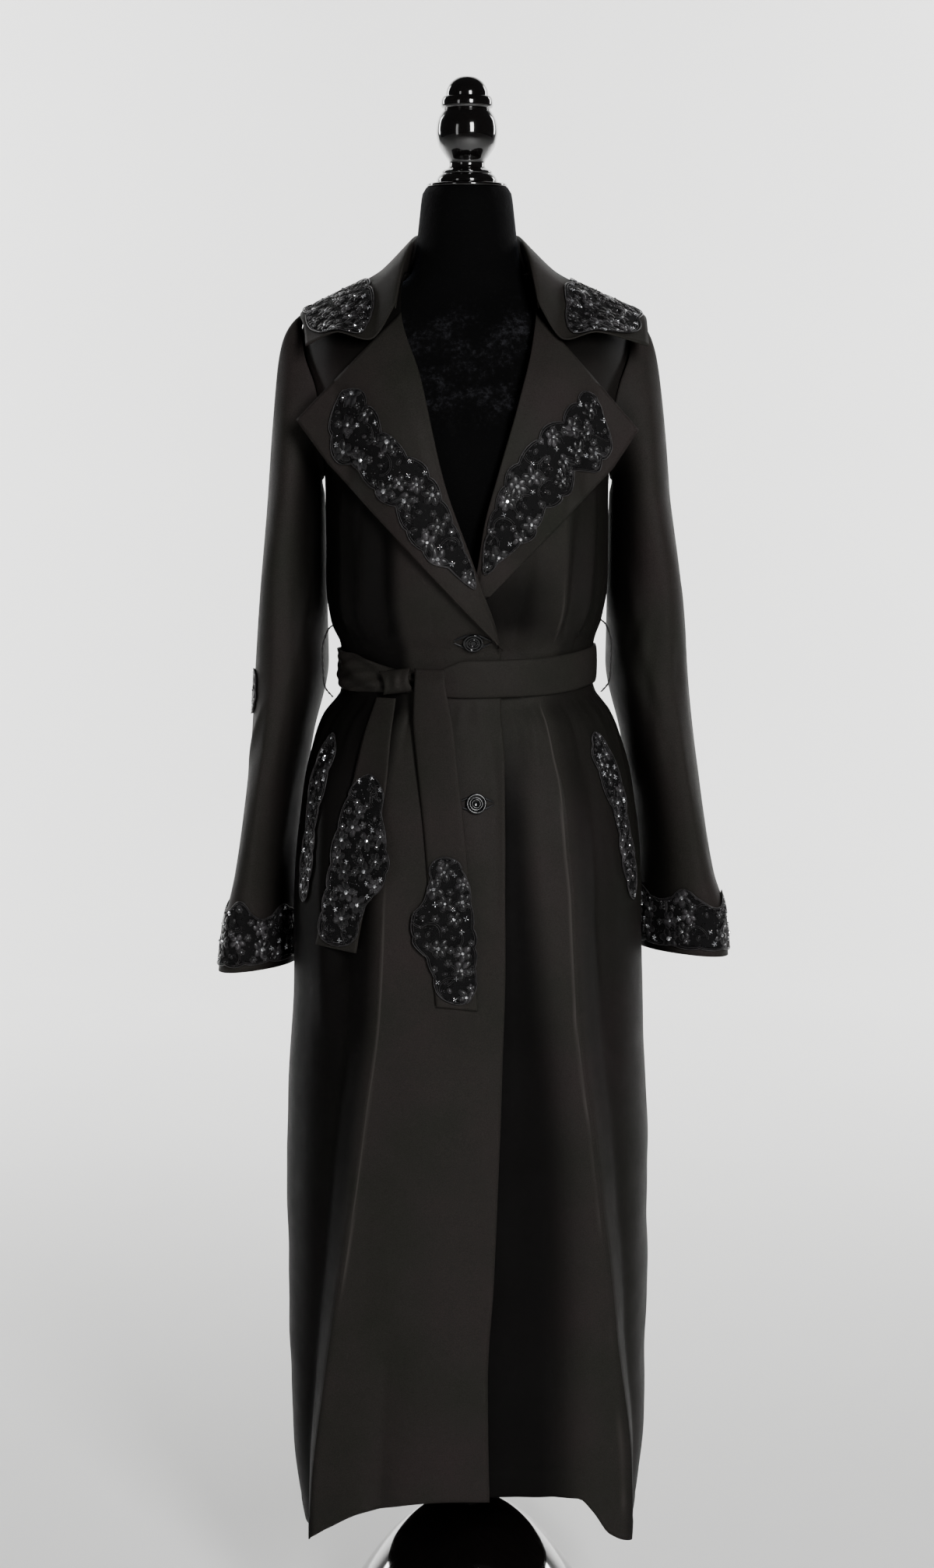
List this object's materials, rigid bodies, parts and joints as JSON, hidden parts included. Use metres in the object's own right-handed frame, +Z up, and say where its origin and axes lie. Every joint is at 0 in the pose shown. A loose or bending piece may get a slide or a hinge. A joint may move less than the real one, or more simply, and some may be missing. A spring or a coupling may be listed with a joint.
{
  "type": "trench coat on a dress form",
  "caption": "Long belted trench coat with wide notched lapels and lace trim, worn by a limbless dress form on a turned stand.",
  "frame": {"origin": "on the floor under the middle of the whole part, at the middle of the stand's foot", "axes": "+Z up along the stand's pole, the wearer faces -Y, the wearer's left is +X"},
  "size_m": [0.5345, 0.3089, 1.6083],
  "materials": {
    "coat_cloth": "satin",
    "form_velvet": "velvet",
    "black_gloss": "gloss",
    "button_black": "gloss",
    "lace_black": "corded lace with sequins",
    "loop_thread": "twisted thread"
  },
  "bodies": {
    "root": {"back": "coat_cloth", "front_right": "coat_cloth", "front_left": "coat_cloth", "sleeve_right": "coat_cloth", "sleeve_left": "coat_cloth", "collar": "coat_cloth", "lapel_right": "coat_cloth", "lapel_left": "coat_cloth", "belt": "coat_cloth", "belt_knot": "coat_cloth", "belt_tail_front": "coat_cloth", "belt_tail_back": "coat_cloth", "belt_loop_right": "loop_thread", "belt_loop_left": "loop_thread", "button_upper": "button_black", "button_lower": "button_black", "lace_lapel_right": "lace_black", "lace_lapel_left": "lace_black", "lace_collar_right": "lace_black", "lace_collar_left": "lace_black", "lace_cuff_right": "lace_black", "lace_cuff_left": "lace_black", "lace_pocket_right": "lace_black", "lace_pocket_left": "lace_black", "lace_tail_front": "lace_black", "lace_tail_back": "lace_black", "lace_elbow_right": "lace_black", "form_body": "form_velvet", "neck_cap": "black_gloss", "stand_base": "black_gloss", "stand_pole": "black_gloss"}
  },
  "joints": []
}
